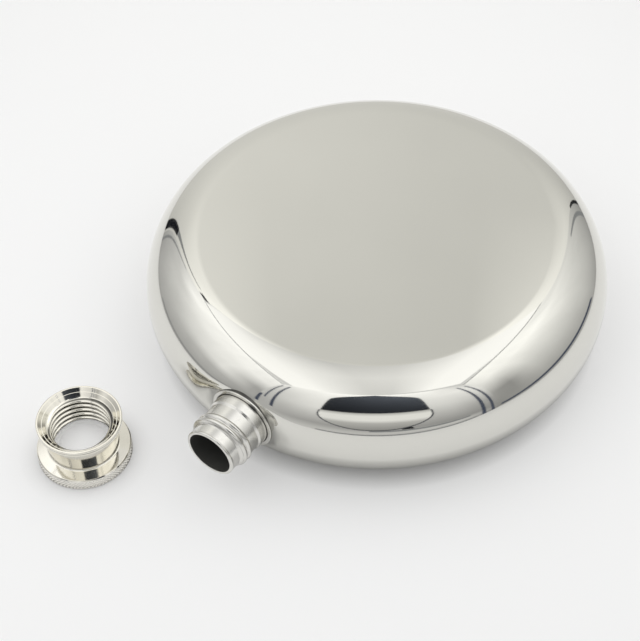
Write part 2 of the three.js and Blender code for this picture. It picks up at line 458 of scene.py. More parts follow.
def maths(tree, operation, *values):
    """A maths node. Each value is a number or the socket that it comes from."""
    node = tree.nodes.new("ShaderNodeMath")
    node.operation = operation
    for socket, value in zip(node.inputs, values):
        if isinstance(value, bpy.types.NodeSocket):
            tree.links.new(value, socket)
        else:
            socket.default_value = value
    return node.outputs["Value"]


def cloud(tree, scale, detail, stretch=(1, 1, 1)):
    """Soft noise in the flask's own metres, centred on a half."""
    place = tree.nodes.new("ShaderNodeTexCoord")
    mapping = tree.nodes.new("ShaderNodeMapping")
    noise = tree.nodes.new("ShaderNodeTexNoise")
    mapping.inputs["Scale"].default_value = stretch
    noise.inputs["Detail"].default_value = detail
    tree.links.new(place.outputs["Object"], mapping.inputs["Vector"])
    tree.links.new(mapping.outputs["Vector"], noise.inputs["Vector"])
    if isinstance(scale, bpy.types.NodeSocket):
        tree.links.new(scale, noise.inputs["Scale"])
    else:
        noise.inputs["Scale"].default_value = scale
    return noise.outputs["Fac"]


def polish_group():
    """Polishing: cloudy changes of gloss, and hair-fine marks in two directions."""
    group, start, end = new_group("polish_marks", {"Gloss": 0.05, "Cloud": 0.02, "Scale": 60.0},
                                  ("Roughness", "Height"))
    haze = cloud(group, start.outputs["Scale"], detail=4.0)
    hair_one = cloud(group, 700.0, detail=2.0, stretch=(1.0, 0.03, 1.0))
    hair_two = cloud(group, 900.0, detail=2.0, stretch=(0.04, 1.0, 1.0))
    spread = maths(group, "MULTIPLY", haze, start.outputs["Cloud"])
    group.links.new(maths(group, "ADD", start.outputs["Gloss"], spread), end.inputs["Roughness"])
    group.links.new(maths(group, "ADD", hair_one, hair_two), end.inputs["Height"])
    return group


def turning_group():
    """Turning: fine rings left by the tool, told apart by their distance along the axis."""
    group, start, end = new_group("turning_rings", {"Along": 0.0, "Rings": 9000.0}, ("Height", "Wear"))
    rings = group.nodes.new("ShaderNodeTexNoise")
    rings.noise_dimensions = "1D"
    rings.inputs["Detail"].default_value = 3.0
    group.links.new(start.outputs["Along"], rings.inputs["W"])
    group.links.new(start.outputs["Rings"], rings.inputs["Scale"])
    group.links.new(rings.outputs["Fac"], end.inputs["Height"])
    group.links.new(cloud(group, 300.0, detail=5.0), end.inputs["Wear"])
    return group


def shared_group(name, maker):
    """The node group of that name, made the first time that it is asked for."""
    return bpy.data.node_groups.get(name) or maker()


def new_material(name):
    """An empty material with a Principled shader."""
    material = bpy.data.materials.new(name)
    material.use_nodes = True
    return material, material.node_tree, material.node_tree.nodes["Principled BSDF"]


def place_group(tree, name, maker, **values):
    """A shared group's node, with this material's own values."""
    node = tree.nodes.new("ShaderNodeGroup")
    node.node_tree = shared_group(name, maker)
    for label, value in values.items():
        node.inputs[label].default_value = value
    return node


def bump_from(tree, shader, height, strength, distance):
    """A bump that feeds the shader's normal."""
    bump = tree.nodes.new("ShaderNodeBump")
    bump.inputs["Strength"].default_value = strength
    bump.inputs["Distance"].default_value = distance
    tree.links.new(height, bump.inputs["Height"])
    tree.links.new(bump.outputs["Normal"], shader.inputs["Normal"])


def tinted(tree, shader, mask, pale_end, dark_end):
    """Base colour that drifts between a pale end and a dark end, by the mask."""
    mix = tree.nodes.new("ShaderNodeMix")
    mix.data_type = "RGBA"
    mix.inputs["A"].default_value = (*pale_end, 1)
    mix.inputs["B"].default_value = (*dark_end, 1)
    tree.links.new(mask, mix.inputs["Factor"])
    tree.links.new(mix.outputs["Result"], shader.inputs["Base Color"])


def shade(colour, share):
    """The colour, darker or lighter by a share."""
    return tuple(part * share for part in colour)


def polished_steel(finish):
    """Mirror of the pressed shells."""
    material, tree, shader = new_material("polished_steel")
    marks = place_group(tree, "polish_marks", polish_group, Gloss=0.035, Cloud=0.03, Scale=45.0)
    shader.inputs["Metallic"].default_value = 1
    # Cloudy wear, and the painted dark reflection of the neck and collar on the pressed seat, darken the
    # steel
    worn_and_shaded = groove_shade(tree, cloud(tree, 28.0, detail=3.0), shade_strength=0.9)
    tinted(tree, shader, worn_and_shaded, pale_end=shade(finish.steel, 1.03), dark_end=shade(finish.steel, 0.5))
    tree.links.new(marks.outputs["Roughness"], shader.inputs["Roughness"])
    bump_from(tree, shader, marks.outputs["Height"], strength=0.02, distance=0.02 * MM)
    return material


def groove_shade(tree, mask, shade_strength):
    """Adds painted shade to a mask of cloudy wear: the colour darkens where the painted shade attribute is
    high.
    """
    painted_shade = tree.nodes.new("ShaderNodeAttribute")
    painted_shade.attribute_name = "painted_shade"
    painted_dark = maths(tree, "MULTIPLY", painted_shade.outputs["Fac"], shade_strength)
    return maths(tree, "MAXIMUM", maths(tree, "MULTIPLY", mask, CLOUDING), painted_dark)


def turned_metal(name, colour, gloss, ring_strength, axis):
    """Bright turned metal with the tool's fine rings along one axis."""
    material, tree, shader = new_material(name)
    marks = place_group(tree, "polish_marks", polish_group, Gloss=gloss, Cloud=0.05, Scale=350.0)
    rings = place_group(tree, "turning_rings", turning_group, Rings=9000.0)
    place = tree.nodes.new("ShaderNodeTexCoord")
    split = tree.nodes.new("ShaderNodeSeparateXYZ")
    tree.links.new(place.outputs["Object"], split.inputs["Vector"])
    tree.links.new(split.outputs[axis], rings.inputs["Along"])
    shader.inputs["Metallic"].default_value = 1
    # Cloudy wear, and painted shade in grooves, creases and gaps, darken the colour
    worn_and_shaded = groove_shade(tree, rings.outputs["Wear"], shade_strength=0.95)
    tinted(tree, shader, worn_and_shaded, pale_end=shade(colour, 1.04), dark_end=shade(colour, 0.06))
    tree.links.new(marks.outputs["Roughness"], shader.inputs["Roughness"])
    bump_from(tree, shader, rings.outputs["Height"], strength=ring_strength, distance=0.03 * MM)
    return material


def raw_shaded_inside(finish):
    """Dull unpolished metal inside the bottle and its neck, darkened nearly to black as painted shade, made
    the first time that it is asked for.
    """
    made = bpy.data.materials.get("raw_shaded_inside")
    if made:
        return made
    material, tree, shader = new_material("raw_shaded_inside")
    marks = place_group(tree, "polish_marks", polish_group, Gloss=0.45, Cloud=0.2, Scale=200.0)
    shader.inputs["Metallic"].default_value = 0.4
    tinted(tree, shader, cloud(tree, 150.0, detail=3.0), pale_end=finish.inside, dark_end=shade(finish.inside, 0.6))
    tree.links.new(marks.outputs["Roughness"], shader.inputs["Roughness"])
    bump_from(tree, shader, marks.outputs["Height"], strength=0.1, distance=0.03 * MM)
    return material


def sealing_plastic(finish):
    """Soft pale plastic with a moulded grain, and a faint painted glow that brightens it though it is no
    lamp.
    """
    material, tree, shader = new_material("sealing_plastic")
    marks = place_group(tree, "polish_marks", polish_group, Gloss=0.45, Cloud=0.2, Scale=500.0)
    tinted(tree, shader, cloud(tree, 180.0, detail=4.0),
           pale_end=shade(finish.sealing, 1.02), dark_end=shade(finish.sealing, 0.98))
    tree.links.new(marks.outputs["Roughness"], shader.inputs["Roughness"])
    # Painted light: a faint glow in the disc's own colour
    shader.inputs["Emission Color"].default_value = (*finish.sealing, 1)
    shader.inputs["Emission Strength"].default_value = finish.disc_painted_glow
    bump_from(tree, shader, cloud(tree, 2500.0, detail=3.0), strength=0.15, distance=0.03 * MM)
    return material


def contact_shadow(tree, reach, depth):
    """From 1 in the open down to 0 where a piece stands close over the floor."""
    near = tree.nodes.new("ShaderNodeAmbientOcclusion")
    near.inputs["Distance"].default_value = reach
    return maths(tree, "POWER", near.outputs["AO"], depth)


def floor_paper(finish):
    """Plain pale paper with a barely seen grain, which shows white to the camera and in mirrors."""
    material, tree, shader = new_material("floor_paper")
    shader.inputs["Roughness"].default_value = 0.9
    shader.inputs["Specular IOR Level"].default_value = 0.1
    shader.inputs["Emission Color"].default_value = (1, 1, 1, 1)
    tinted(tree, shader, cloud(tree, 6.0, detail=2.0),
           pale_end=shade(finish.floor, 1.005), dark_end=shade(finish.floor, 0.99))
    path = tree.nodes.new("ShaderNodeLightPath")
    mirrored = maths(tree, "MAXIMUM", path.outputs["Is Glossy Ray"], path.outputs["Is Transmission Ray"])
    open_sky = contact_shadow(tree, finish.contact_reach, finish.contact_depth)
    mirrored_sky = contact_shadow(tree, finish.mirrored_reach, finish.mirrored_depth)
    seen_sky = maths(tree, "MULTIPLY", path.outputs["Is Camera Ray"], open_sky)
    seen = maths(tree, "MULTIPLY", seen_sky, finish.floor_glow)
    glow = maths(tree, "MULTIPLY_ADD", maths(tree, "MULTIPLY", mirrored, mirrored_sky),
                 finish.floor_mirrored, seen)
    tree.links.new(glow, shader.inputs["Emission Strength"])
    bump_from(tree, shader, cloud(tree, 1500.0, detail=2.0), strength=0.05, distance=0.1 * MM)
    return material


# Pieces

def assign(piece, *materials):
    """Gives the piece its materials, in the order of its faces' material numbers."""
    for material in materials:
        piece.data.materials.append(material)


def settle(piece, body, node):
    """The piece rides on its body and stands for its solid, which is hidden."""
    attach(piece, body)
    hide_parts(node)


def cut_neck_hole(piece, radius):
    """Cuts the round hole for the neck through a shell."""
    across = np.array([0, radius, radius, 0])
    along = np.repeat([-NECK_HIGH.y - radius, MOUTH], 2)
    cutter = surface("neck_hole", neckwise(*ring_grid(across, along, HOLE_FACETS)))
    hole = piece.modifiers.new("neck_hole", "BOOLEAN")
    hole.object = cutter
    hole.operation = "DIFFERENCE"
    hole.solver = "EXACT"
    graph = bpy.context.evaluated_depsgraph_get()
    whole = piece.data
    piece.data = bpy.data.meshes.new_from_object(piece.evaluated_get(graph))
    piece.data.name = piece.name
    piece.modifiers.clear()
    bpy.data.meshes.remove(whole)
    bpy.data.objects.remove(cutter)


def polish_shell(piece, body):
    """Gives the outside its true mirror normals, and marks the inside as raw metal."""
    mesh = piece.data
    mesh.set_sharp_from_angle(angle=SHARP_TURN)
    flat = BODY_RADIUS - body.edge_depth
    normals = [Vector(corner.vector) for corner in mesh.corner_normals]
    for face in mesh.polygons:
        outside = True
        true_normals = []
        for corner in face.loop_indices:
            place = mesh.vertices[mesh.loops[corner].vertex_index].co
            radius = math.hypot(place.x, place.y)
            out = max(radius - flat, 0) / body.edge_depth
            rise = (place.z - MIDDLE_HEIGHT) / HALF_THICKNESS
            outside = outside and abs(math.hypot(out, rise) - 1) < ON_FORM
            lean = out / body.edge_depth / max(radius, POINT_SIZE)
            normal = Vector((lean * place.x, lean * place.y, rise / HALF_THICKNESS))
            true_normals.append(normal.normalized())
        outside = outside and abs(face.normal.dot(true_normals[0])) > TURNED_TO_FORM
        if outside:
            for corner, normal in zip(face.loop_indices, true_normals):
                normals[corner] = normal
        face.material_index = 0 if outside else 1
    press_seat(mesh, normals, body)
    mesh.normals_split_custom_set(normals)


def press_seat(mesh, normals, body):
    """Presses the edge flat where the neck stands, turns the normals with it, and paints a dark reflection
    on the flat.
    """
    seat = BODY_RADIUS - body.seat_depth
    for corner, normal in zip(mesh.loops, normals):
        lift = (seat + mesh.vertices[corner.vertex_index].co.y) / body.seat_blend
        normal.y *= 1 + math.exp(-lift)
        normal.normalize()
    painted_reflection = mesh.attributes["painted_shade"].data
    for vertex, mark in zip(mesh.vertices, painted_reflection):
        lift = (seat + vertex.co.y) / body.seat_blend
        pressed = body.seat_blend * math.log1p(math.exp(lift)) - seat
        away = math.hypot(vertex.co.x, vertex.co.z - MIDDLE_HEIGHT) - body.collar_radius
        near_collar = 1 - smooth_step(body.seat_dark_near, body.seat_dark_far, away)
        # Painted dark reflection of the neck and collar: full near the collar where the edge is pressed in
        mark.value = near_collar * smooth_step(body.press_near, body.press_full, pressed - vertex.co.y)
        vertex.co.y = pressed


def make_shell(name, side, flask):
    """One pressed half. Side is 1 for the front and -1 for the back."""
    body = flask.body
    flat = BODY_RADIUS - body.edge_depth
    turn = np.linspace(0, math.pi / 2, EDGE_RINGS)
    inner_turn = np.linspace(math.pi / 2, 0, INNER_RINGS)
    flat_rings = np.linspace(0, flat, FLAT_RINGS)[:-1]
    inner_depth = body.edge_depth - body.sheet
    inner_half = HALF_THICKNESS - body.sheet
    across = np.concatenate([
        flat_rings,
        flat + body.edge_depth * np.sin(turn),
        flat + inner_depth * np.sin(inner_turn),
        flat_rings[::-1],
    ])
    along = np.concatenate([
        np.full(len(flat_rings), HALF_THICKNESS),
        HALF_THICKNESS * np.cos(turn),
        inner_half * np.cos(inner_turn),
        np.full(len(flat_rings), inner_half),
    ])
    if side > 0:
        across = across[::-1]
        along = along[::-1]
    radius, height, angle = ring_grid(across, along, body.facets)
    piece = surface(name, upright(radius, MIDDLE_HEIGHT + side * height, angle))
    cut_neck_hole(piece, body.hole_radius)
    polish_shell(piece, body)
    return piece


def make_collar(flask):
    """The flat ring round the neck's root, on the seat that is pressed into the body's edge."""
    body = flask.body
    seat = BODY_RADIUS - body.seat_depth
    face = seat + body.collar_height
    foot = edge_reach(body.collar_radius, body) - body.collar_sink
    waist = (foot + face) / 2
    outline = filleted([
        (body.collar_bore, waist, 0),
        (body.collar_bore, foot, FINE_EDGE),
        (body.collar_radius, foot, FINE_EDGE),
        (body.collar_radius, face, body.collar_rounding),
        (body.collar_bore, face, FINE_EDGE),
        (body.collar_bore, waist + HAIR, 0),
    ], FINE_EDGE)
    radius, along, angle = ring_grid(outline[:, 0], outline[:, 1], flask.neck.facets)
    # Painted shade in the crease next to the neck and in the seam along the seat
    at_root = 1 - smooth_step(body.collar_bore, body.collar_bore + body.crease_width, radius)
    at_seat = 1 - smooth_step(seat - FINE_EDGE, seat + body.seam_shadow, along)
    return surface("neck_collar_ring", neckwise(radius, along, angle), closed=True,
                   painted_shade=np.maximum(at_root, at_seat))


def neck_outline(neck, step_back, step_front, thread_high):
    """Outline of the turned neck: round its inner end, along its outside and back down the bore."""
    inner = -NECK_HIGH.y
    middle = (inner + MOUTH) / 2
    lip_radius = neck.end_radius + neck.lip_flare
    return filleted([
        (neck.bore, middle, 0),
        (neck.bore, inner, SOFT_EDGE),
        (neck.root_radius, inner, SOFT_EDGE),
        (neck.root_radius, step_back, SOFT_EDGE),
        (neck.middle_radius, step_front, neck.step_rounding),
        (neck.middle_radius, thread_high - neck.runout_back, neck.step_rounding),
        (neck.end_radius, thread_high + neck.runout_front, neck.step_rounding),
        (neck.end_radius, MOUTH - neck.lip_length, neck.lip_blend),
        (lip_radius, MOUTH - neck.lip_height, neck.lip_rounding),
        (lip_radius - neck.lip_chamfer, MOUTH, neck.lip_rounding),
        (neck.bore, MOUTH, PLAIN_EDGE),
        (neck.bore, middle + SOFT_EDGE, 0),
    ], NECK_STEP)


def make_neck(flask):
    """The turned neck: root, step, middle, rolled thread, plain end, flared lip and bore."""
    neck = flask.neck
    step_back = BODY_RADIUS + neck.root_length
    step_front = step_back + neck.step_length
    thread_high = MOUTH - neck.thread_setback
    thread_low = thread_high - neck.thread_length
    collar_face = BODY_RADIUS - flask.body.seat_depth + flask.body.collar_height
    outline = neck_outline(neck, step_back, step_front, thread_high)
    seen = (outline[:, 0] > neck.bore + HAIR) & (outline[:, 1] > collar_face - SOFT_EDGE)
    outline = thinned(outline, seen)
    radius, along, angle = ring_grid(outline[:, 0], outline[:, 1], neck.facets)
    outside = (radius > neck.end_radius - HAIR) & (along > step_front) & (along < MOUTH - neck.lip_length)
    ridge = thread_ridge(rolled, along, angle, thread_low, thread_high, flask.cap.thread_pitch,
                         neck.thread_width, NECK_THREAD_START)
    radius = np.where(outside, radius + ridge * (neck.thread_radius - radius), radius)
    # Painted shade in thin lines beside the thread's ridge and in the crease above the collar
    beside = np.clip(1 - np.abs(ridge - RIDGE_FOOT) / RIDGE_FOOT, 0, 1)
    at_collar = 1 - smooth_step(collar_face, collar_face + neck.root_shadow, along)
    painted_shade = np.maximum(np.where(outside, FOOT_SHADE * beside, 0), at_collar)
    piece = surface("neck_spout", neckwise(radius, along, angle), closed=True, painted_shade=painted_shade)
    for face in piece.data.polygons:
        depth = math.hypot(face.center.x, face.center.z - MIDDLE_HEIGHT)
        in_bore = depth < neck.bore + HAIR and -face.center.y < MOUTH - neck.bright_bore
        face.material_index = 1 if in_bore else 0
    return piece


def cap_outline(cap, grip, height, disc_top, thread_top):
    """Outline of the turned cap, from the middle of its closed end round the rim to the seat of the disc."""
    rim_foot = height - cap.rim_height
    bead_foot = height - cap.bead_height
    lip_inner = cap.rim_radius - cap.lip_width
    funnel_foot = height - cap.funnel_depth
    ledge_radius = (lip_inner + cap.funnel_radius) / 2
    ledge_height = (height + funnel_foot) / 2
    return filleted([
        (0, 0, 0),
        (grip - cap.end_inset, 0, SOFT_EDGE),
        (grip, cap.end_chamfer, SOFT_EDGE),
        (grip, cap.grip_height - cap.grip_chamfer, PLAIN_EDGE),
        (grip - cap.grip_chamfer, cap.grip_height, cap.grip_rounding),
        (cap.crease_radius, cap.crease_height, cap.crease_rounding),
        (cap.crease_radius + cap.wall_lean, rim_foot - cap.rim_step, PLAIN_EDGE),
        (cap.rim_radius - cap.rim_inset, rim_foot, PLAIN_EDGE),
        (cap.rim_radius - cap.rim_inset, bead_foot, CRISP_EDGE),
        (cap.rim_radius - cap.groove_inset, bead_foot + cap.groove_middle, CRISP_EDGE),
        (cap.rim_radius, bead_foot + cap.groove_height, FINE_EDGE),
        (cap.rim_radius, height, cap.lip_rounding),
        (lip_inner, height, SOFT_EDGE),
        (ledge_radius + cap.ledge_width / 2, ledge_height, KEEN_EDGE),
        (ledge_radius - cap.ledge_width / 2, ledge_height, KEEN_EDGE),
        (cap.funnel_radius, funnel_foot, FINE_EDGE),
        (cap.thread_root, thread_top, PLAIN_EDGE),
        (cap.thread_root, disc_top + cap.seat_chamfer, SOFT_EDGE),
        (cap.seat_radius, disc_top, SOFT_EDGE),
        (cap.seat_radius, cap.end_thickness, SOFT_EDGE),
        (0, cap.end_thickness, 0),
    ], CAP_STEP)


def knurl(cap, along, angle, grip):
    """Height from 0 to 1 of the diamonds round the grip, where two sets of slanted grooves cross."""
    teeth = angle / TAU * cap.knurl_teeth
    rise = along * cap.knurl_teeth / (TAU * grip)
    return np.minimum(triangle_wave(teeth + rise), triangle_wave(teeth - rise))


def make_cap(flask):
    """The turned cap: closed end, knurled grip, shoulder, leaning wall, rim, funnel and threaded bore."""
    cap = flask.cap
    grip = (CAP_HIGH.x - CAP_LOW.x) / 2
    height = CAP_HIGH.z - CAP_LOW.z
    disc_top = LINER_HIGH.z - CAP_LOW.z
    thread_top = height - cap.funnel_depth - cap.thread_setback
    outline = cap_outline(cap, grip, height, disc_top, thread_top)
    worked = (outline[:, 0] > grip - HAIR) | (np.abs(outline[:, 0] - cap.thread_root) < HAIR)
    outline = thinned(outline, worked)
    radius, along, angle = ring_grid(outline[:, 0], outline[:, 1], cap.knurl_teeth * cap.steps_per_tooth)
    on_grip = radius > grip - HAIR
    in_thread = np.abs(radius - cap.thread_root) < HAIR
    on_rim = radius > cap.rim_radius - cap.lip_width
    near_disc = (along > disc_top - SOFT_EDGE) & (along < disc_top + cap.disc_shadow)
    at_disc = near_disc & (radius < cap.thread_root + HAIR)
    diamonds = knurl(cap, along, angle, grip)
    ridge = thread_ridge(cut, along, angle, disc_top, thread_top, cap.thread_pitch, cap.thread_width,
                         CAP_THREAD_START)
    groove = height - cap.bead_height + cap.groove_middle
    under_bead = np.exp(-((along - groove) / cap.groove_shadow) ** 2)
    # Painted shade in the knurl's grooves, at the thread's roots, in the groove under the bead and in the
    # gap above the sealing disc
    painted_shade = np.where(on_grip, KNURL_SHADE * (1 - diamonds) ** KNURL_SHADE_POWER, 0)
    painted_shade = painted_shade + np.where(in_thread, 1 - smooth_step(FLANK_DARK, FLANK_UNSHADED, ridge), 0)
    painted_shade = painted_shade + np.where(on_rim, under_bead, 0)
    painted_shade = np.maximum(painted_shade, DISC_SHADE * at_disc)
    radius = radius - np.where(on_grip, cap.knurl_depth * (1 - diamonds), 0)
    radius = radius - np.where(in_thread, ridge * cap.thread_depth, 0)
    piece = surface("cap_screw_shell", upright(radius, along, angle), painted_shade=painted_shade)
    for face in piece.data.polygons:
        out = math.hypot(face.center.x, face.center.y)
        knurled = out > grip - cap.knurl_depth and face.center.z < cap.grip_height - cap.knurl_margin
        threaded = out < cap.thread_root + HAIR and disc_top < face.center.z < thread_top
        face.material_index = 1 if knurled else 2 if threaded else 0
    piece.data.transform(Matrix.Translation(CAP_CENTRE))
    return piece


def make_liner(flask):
    """The sealing disc: soft, with a rounded rim and the faint ring that the mouth has pressed into it."""
    neck = flask.neck
    cap = flask.cap
    radius = (LINER_HIGH.x - LINER_LOW.x) / 2
    thickness = LINER_HIGH.z - LINER_LOW.z
    print_radius = (neck.bore + neck.end_radius) / 2
    outline = filleted([
        (0, 0, 0),
        (radius, 0, cap.disc_foot),
        (radius, thickness, cap.disc_rim),
        (0, thickness, 0),
    ], DISC_STEP)
    across, along, angle = ring_grid(outline[:, 0], outline[:, 1], DISC_FACETS)
    pressed = np.exp(-((across - print_radius) / cap.print_width) ** 2)
    along = along - np.where(along > thickness / 2, pressed * cap.print_depth, 0)
    piece = surface("cap_sealing_disc", upright(across, LINER_LOW.z + along, angle))
    piece.data.transform(Matrix.Translation((CAP_CENTRE.x, CAP_CENTRE.y, 0)))
    return piece


# Stage

def glow_material(name, glow):
    """A material that only glows. The glow is a plain colour, or a function that gives a colour socket."""
    material = bpy.data.materials.new(name)
    material.use_nodes = True
    tree = material.node_tree
    tree.nodes.clear()
    output = tree.nodes.new("ShaderNodeOutputMaterial")
    light = tree.nodes.new("ShaderNodeEmission")
    tree.links.new(light.outputs["Emission"], output.inputs["Surface"])
    if callable(glow):
        tree.links.new(glow(tree), light.inputs["Color"])
    else:
        light.inputs["Color"].default_value = (*glow, 1)
    return material


def level_curve(tree, value, levels):
    """Brightness along one direction: levels are (place in millimetres, brightness) pairs."""
    first, last = levels[0][0], levels[-1][0]
    share = tree.nodes.new("ShaderNodeMapRange")
    share.inputs["From Min"].default_value = first * MM
    share.inputs["From Max"].default_value = last * MM
    ramp = tree.nodes.new("ShaderNodeValToRGB")
    stops = ramp.color_ramp.elements
    while len(stops) < len(levels):
        stops.new(1)
    for stop, (place, level) in zip(stops, levels):
        stop.position = (place - first) / (last - first)
        stop.color = (level, level, level, 1)
    tree.links.new(value, share.inputs["Value"])
    tree.links.new(share.outputs["Result"], ramp.inputs["Fac"])
    return ramp.outputs["Color"]


def cloth_glow(columns, wrinkle, tint):
    """Lit cloth: each column gives its place along the cloth and its brightness by height."""
    def glow(tree):
        place = tree.nodes.new("ShaderNodeTexCoord")
        split = tree.nodes.new("ShaderNodeSeparateXYZ")
        tree.links.new(place.outputs["Object"], split.inputs["Vector"])
        along, height = split.outputs["X"], split.outputs["Z"]
        start, levels = columns[0]
        level = level_curve(tree, height, levels)
        for end, levels in columns[1:]:
            mix = tree.nodes.new("ShaderNodeMix")
            tree.links.new(level_curve(tree, along, [(start, 0), (end, 1)]), mix.inputs["Factor"])
            tree.links.new(level, mix.inputs["A"])
            tree.links.new(level_curve(tree, height, levels), mix.inputs["B"])
            level = mix.outputs["Result"]
            start = end
        wrinkles = cloud(tree, 26.0, detail=4.0, stretch=(1, 1, 0.5))
        folds = maths(tree, "MULTIPLY_ADD", wrinkles, wrinkle * 2, 1 - wrinkle)
        colour = tree.nodes.new("ShaderNodeVectorMath")
        colour.operation = "SCALE"
        colour.inputs["Vector"].default_value = tint
        tree.links.new(maths(tree, "MULTIPLY", level, folds), colour.inputs["Scale"])
        return colour.outputs["Vector"]
    return glow


def flat_shape(name, outline, matrix, material):
    """A flat panel in its own X and Z, which lights and is mirrored but isn't seen itself."""
    mesh = bpy.data.meshes.new(name)
    mesh.from_pydata([(x, 0, z) for x, z in outline], [], [tuple(range(len(outline)))])
    mesh.materials.append(material)
    shape = bpy.data.objects.new(name, mesh)
    bpy.context.scene.collection.objects.link(shape)
    shape.matrix_world = matrix
    shape.visible_camera = False


def oblong(left, right, low, high):
    """Corners of an upright oblong."""
    return [(left, low), (right, low), (right, high), (left, high)]


def wall_frame(flask, start, end, inward=0):
    """Where a wall stands: X from its start to its end, Z up, moved inward from the wall's own plane."""
    start = Vector((*start, 0))
    along = (Vector((*end, 0)) - start).normalized()
    across = Vector((0, 0, 1)).cross(along)
    if across.dot(start) > 0:
        across = -across
    turn = Matrix((along, across, Vector((0, 0, 1)))).transposed().to_4x4()
    stand = Matrix.Translation(start + across * inward)
    return Matrix.Rotation(flask.view.azimuth, 4, "Z") @ stand @ turn


# How brightly each cloth is lit: (place along it, [(height, brightness)]), in millimetres
LEFT_CLOTH = [
    (20, [(0, 0.35), (60, 0.55), (125, 0.55), (200, 1.2), (300, 1.4)]),
    (90, [(0, 0.5), (55, 0.65), (90, 1.15), (300, 1.5)]),
    (205, [(0, 0.5), (90, 0.85), (175, 1.3), (300, 1.5)]),
    (270, [(0, 0.55), (145, 0.9), (205, 1.45), (300, 1.5)]),
    (320, [(0, 0.45), (145, 0.75), (300, 1.45)]),
]
RIGHT_CLOTH = [
    (10, [(0, 0.4), (115, 0.75), (300, 1.3)]),
    (115, [(0, 0.5), (90, 0.95), (200, 1.5), (300, 1.5)]),
    (225, [(0, 0.45), (90, 0.9), (200, 1.4), (300, 1.5)]),
    (270, [(0, 0.45), (90, 0.4), (205, 1.35), (300, 1.45)]),
    (315, [(0, 0.35), (90, 0.5), (175, 1.1), (300, 1.3)]),
]
BACK_CLOTH = [
    (30, [(0, 0.7), (145, 0.9), (300, 1.5)]),
    (100, [(0, 0.8), (145, 1.0), (300, 1.45)]),
    (150, [(0, 0.8), (145, 0.95), (240, 0.85), (300, 0.9)]),
    (220, [(0, 0.8), (145, 0.85), (240, 0.8), (300, 0.9)]),
    (255, [(0, 0.75), (175, 0.85), (260, 1.4), (300, 1.5)]),
    (310, [(0, 0.6), (300, 1.4)]),
]
FRONT_CLOTH = [
    (0, [(0, 0.35), (70, 0.5), (145, 1.0), (205, 1.25), (300, 0.8)]),
    (80, [(0, 0.5), (12, 0.8), (24, 0.4), (115, 1.0), (300, 1.5)]),
    (250, [(0, 0.8), (30, 0.5), (115, 1.1), (300, 1.5)]),
    (345, [(0, 0.6), (70, 0.6), (145, 0.8), (300, 1.3)]),
]
ROOF_CLOTH = [
    (-190, [(-165, 1.5), (165, 1.5)]),
    (-115, [(-165, 1.35), (165, 1.5)]),
    (-20, [(-165, 0.8), (0, 1.05), (165, 0.95)]),
    (20, [(-165, 0.9), (0, 1.1), (165, 0.95)]),
    (85, [(-165, 1.45), (165, 1.5)]),
    (165, [(-165, 1.5), (165, 1.5)]),
]
FLAP_CLOTH = [
    (110, [(20, 0.3), (50, 0.65), (62, 1.1), (82, 1.1), (98, 0.5)]),
    (230, [(20, 0.4), (50, 0.65), (62, 1.1), (82, 1.1), (98, 0.5)]),
]
DARK_ROOM = [
    (115, [(97, 0.04), (280, 0.2)]),
    (235, [(97, 0.02), (280, 0.09)]),
]


def tent_walls(tent):
    """Start and end of each wall on the floor."""
    return {
        "left": (tent.left_front, tent.left_back),
        "right": (tent.right_back, tent.right_front),
        "back": (tent.left_back, tent.right_back),
        "front": (tent.right_front, tent.left_front),
    }


def make_walls(flask):
    """The four cloth walls, with the brightness that lamps outside the cloth give them."""
    tent = flask.tent
    cloths = {
        "left": cloth_glow(LEFT_CLOTH, 0.1, (1, 1, 0.995)),
        "right": cloth_glow(RIGHT_CLOTH, 0.1, (1, 1, 0.985)),
        "back": cloth_glow(BACK_CLOTH, 0.03, (1, 0.995, 0.96)),
        "front": cloth_glow(FRONT_CLOTH, 0.06, (1, 1, 0.995)),
    }
    for wall, (start, end) in tent_walls(tent).items():
        name = wall + "_wall"
        width = (Vector(end) - Vector(start)).length
        flat_shape(name, oblong(0, width, 0, tent.height), wall_frame(flask, start, end),
                   glow_material(name, cloths[wall]))


def make_roof(flask):
    """The roof: bright at both sides, where the lamps stand, and dimmer along the middle."""
    tent = flask.tent
    corners = [tent.left_back, tent.left_front, tent.right_front, tent.right_back]
    lying = Matrix.Translation((0, 0, tent.height)) @ Matrix.Rotation(-math.pi / 2, 4, "X")
    lying = Matrix.Rotation(flask.view.azimuth, 4, "Z") @ lying @ Matrix.Scale(-1, 4, (0, 0, 1))
    flat_shape("roof", [tuple(corner) for corner in corners], lying,
               glow_material("roof", cloth_glow(ROOF_CLOTH, 0.02, (1, 1, 0.995))))


def tapered(foot, top):
    """A strip between two (place along, height, width) ends, in millimetres."""
    (low_place, low, low_width), (high_place, high, high_width) = foot, top
    corners = [(low_place - low_width / 2, low), (low_place + low_width / 2, low),
               (high_place + high_width / 2, high), (high_place - high_width / 2, high)]
    return [(place * MM, height * MM) for place, height in corners]


